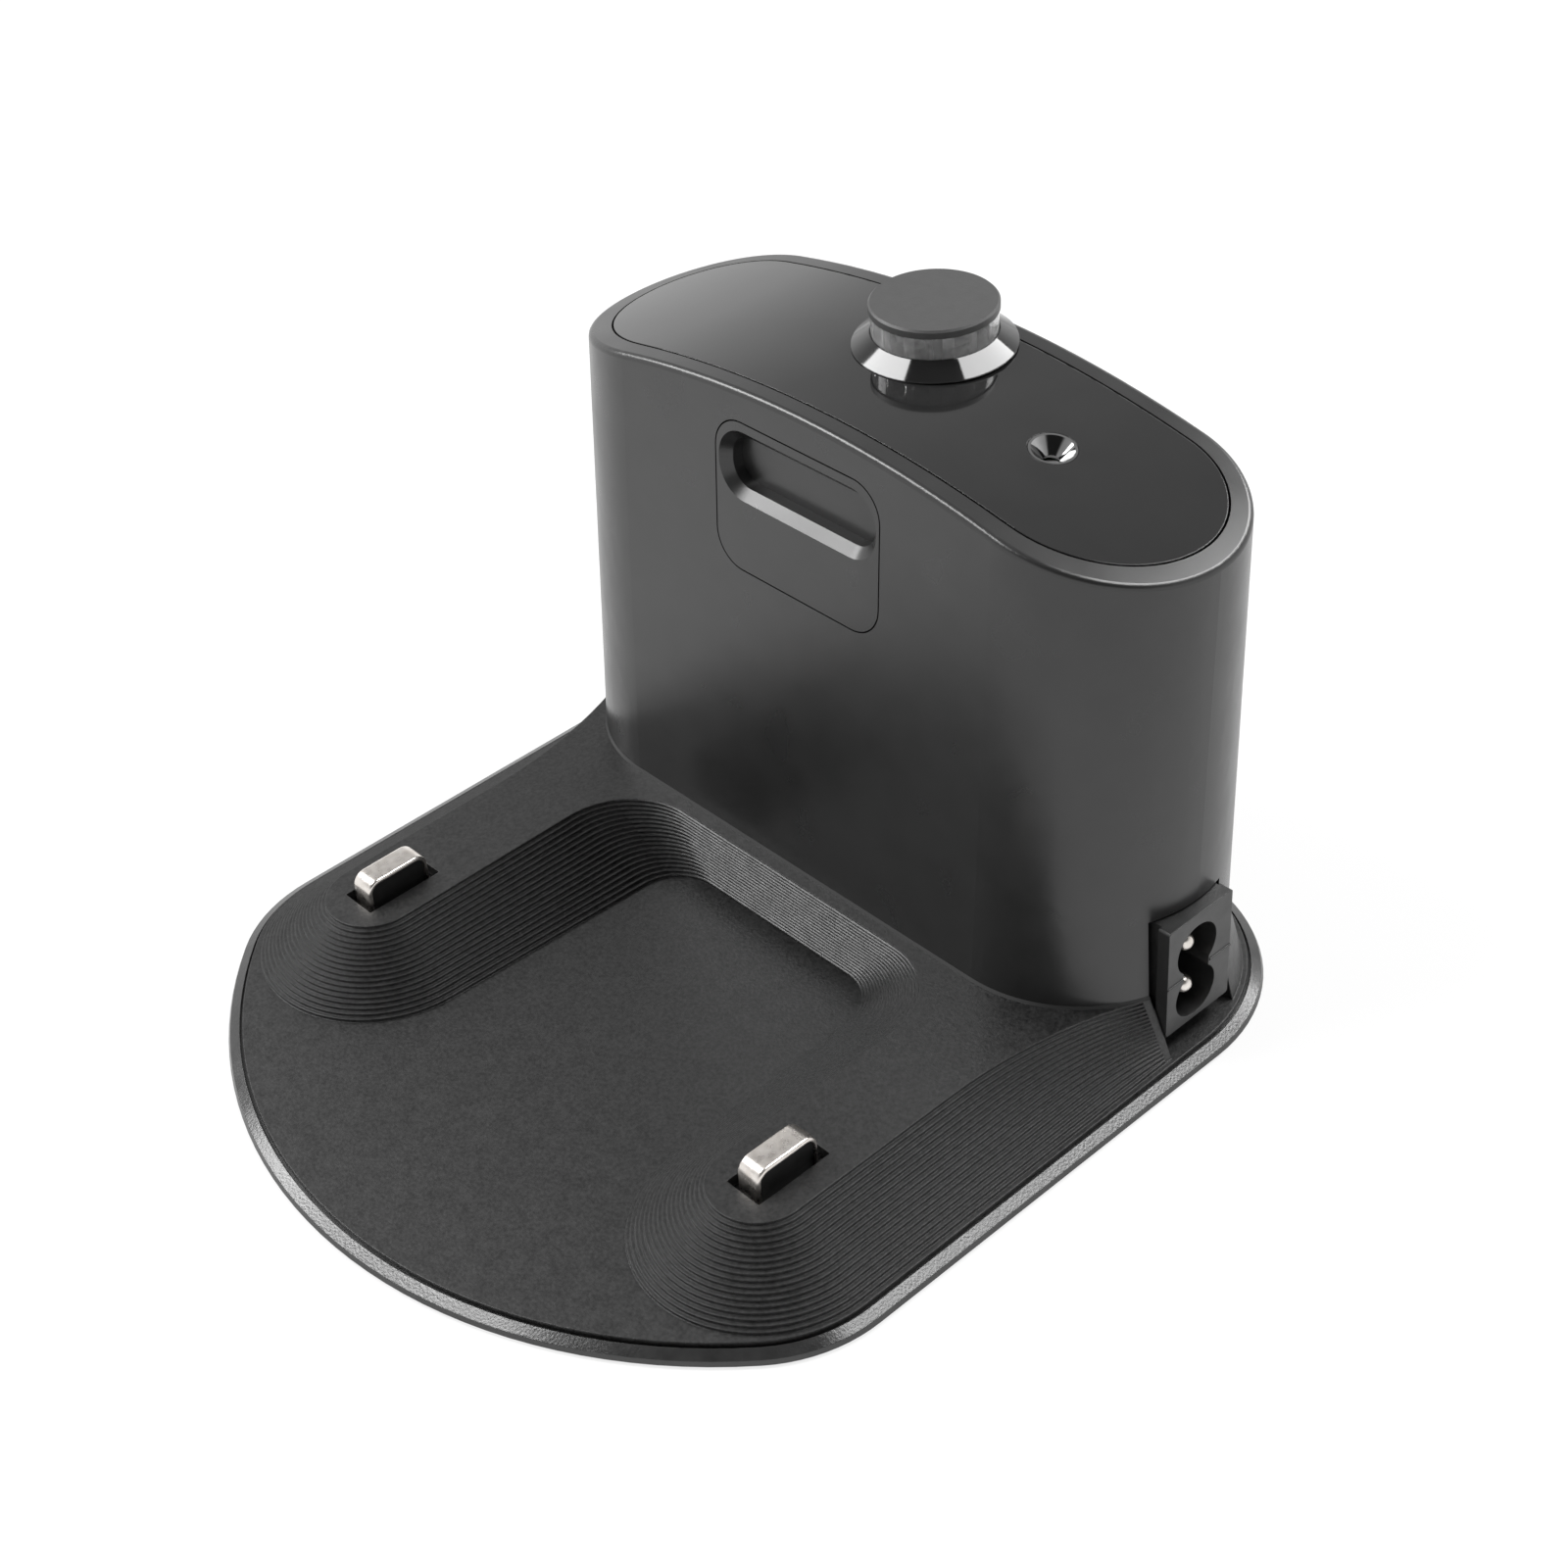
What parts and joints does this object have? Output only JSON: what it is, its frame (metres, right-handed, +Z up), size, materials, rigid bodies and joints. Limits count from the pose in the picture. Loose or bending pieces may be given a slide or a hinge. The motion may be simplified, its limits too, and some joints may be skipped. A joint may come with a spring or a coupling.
{
  "type": "robot vacuum charging dock",
  "caption": "Robot vacuum charging dock: ribbed horseshoe base with sprung contacts, arched oval tower, top beacon and a mains inlet at the side.",
  "frame": {"origin": "on the ground under the middle of the base plate", "axes": "+X towards the side with the mains inlet, +Y from the caster bay towards the back of the tower, +Z up"},
  "size_m": [0.138, 0.1484, 0.1006],
  "materials": {
    "deck_grain": "fine grain",
    "tower_satin": "satin",
    "base_black": "satin",
    "gloss_black": "gloss",
    "dark_chrome": "bright",
    "cap_grey": "matt",
    "clear_lens": "clear",
    "inlet_black": "matt",
    "nickel": "bright",
    "carrier_black": "matt",
    "spring_brass": "bright",
    "board_green": "satin",
    "core_tape": "satin",
    "can_aluminium": "satin",
    "lead_sleeve": "matt",
    "light_clear": "clear",
    "light_dark": "gloss",
    "screw_steel": "plain",
    "foot_rubber": "matt"
  },
  "bodies": {
    "dock": {"base_plate": "base_black", "deck": "deck_grain", "tower_shell": "tower_satin", "top_panel": "gloss_black", "beacon_collar": "dark_chrome", "beacon_lens": "clear_lens", "beacon_cap": "cap_grey", "beacon_board": "board_green", "beacon_emitter": "light_clear", "indicator_cup": "dark_chrome", "indicator_light": "light_clear", "front_panel": "tower_satin", "docking_emitters": "light_dark", "emitter_board": "board_green", "inlet_socket": "inlet_black", "inlet_pins": "nickel", "inlet_leads": "lead_sleeve", "contact_leads": "lead_sleeve", "main_board": "board_green", "transformer": "core_tape", "board_capacitors": "can_aluminium", "left_contact_spring": "spring_brass", "right_contact_spring": "spring_brass", "left_contact_terminal": "spring_brass", "right_contact_terminal": "spring_brass", "base_screws": "screw_steel", "tower_screws": "screw_steel", "rubber_feet": "foot_rubber"},
    "left_contact_block": {"left_contact": "nickel", "left_contact_carrier": "carrier_black"},
    "right_contact_block": {"right_contact": "nickel", "right_contact_carrier": "carrier_black"}
  },
  "joints": [
    {"name": "left_contact_press", "type": "slide", "parent": "dock", "child": "left_contact_block", "axis": [0, 0, 1], "range_m": [-0.0032, 0], "stiffness_N_per_m": 300, "springref_m": 0.003, "deforming": ["left_contact_spring"]},
    {"name": "right_contact_press", "type": "slide", "parent": "dock", "child": "right_contact_block", "axis": [0, 0, 1], "range_m": [-0.0032, 0], "stiffness_N_per_m": 300, "springref_m": 0.003, "deforming": ["right_contact_spring"]}
  ]
}
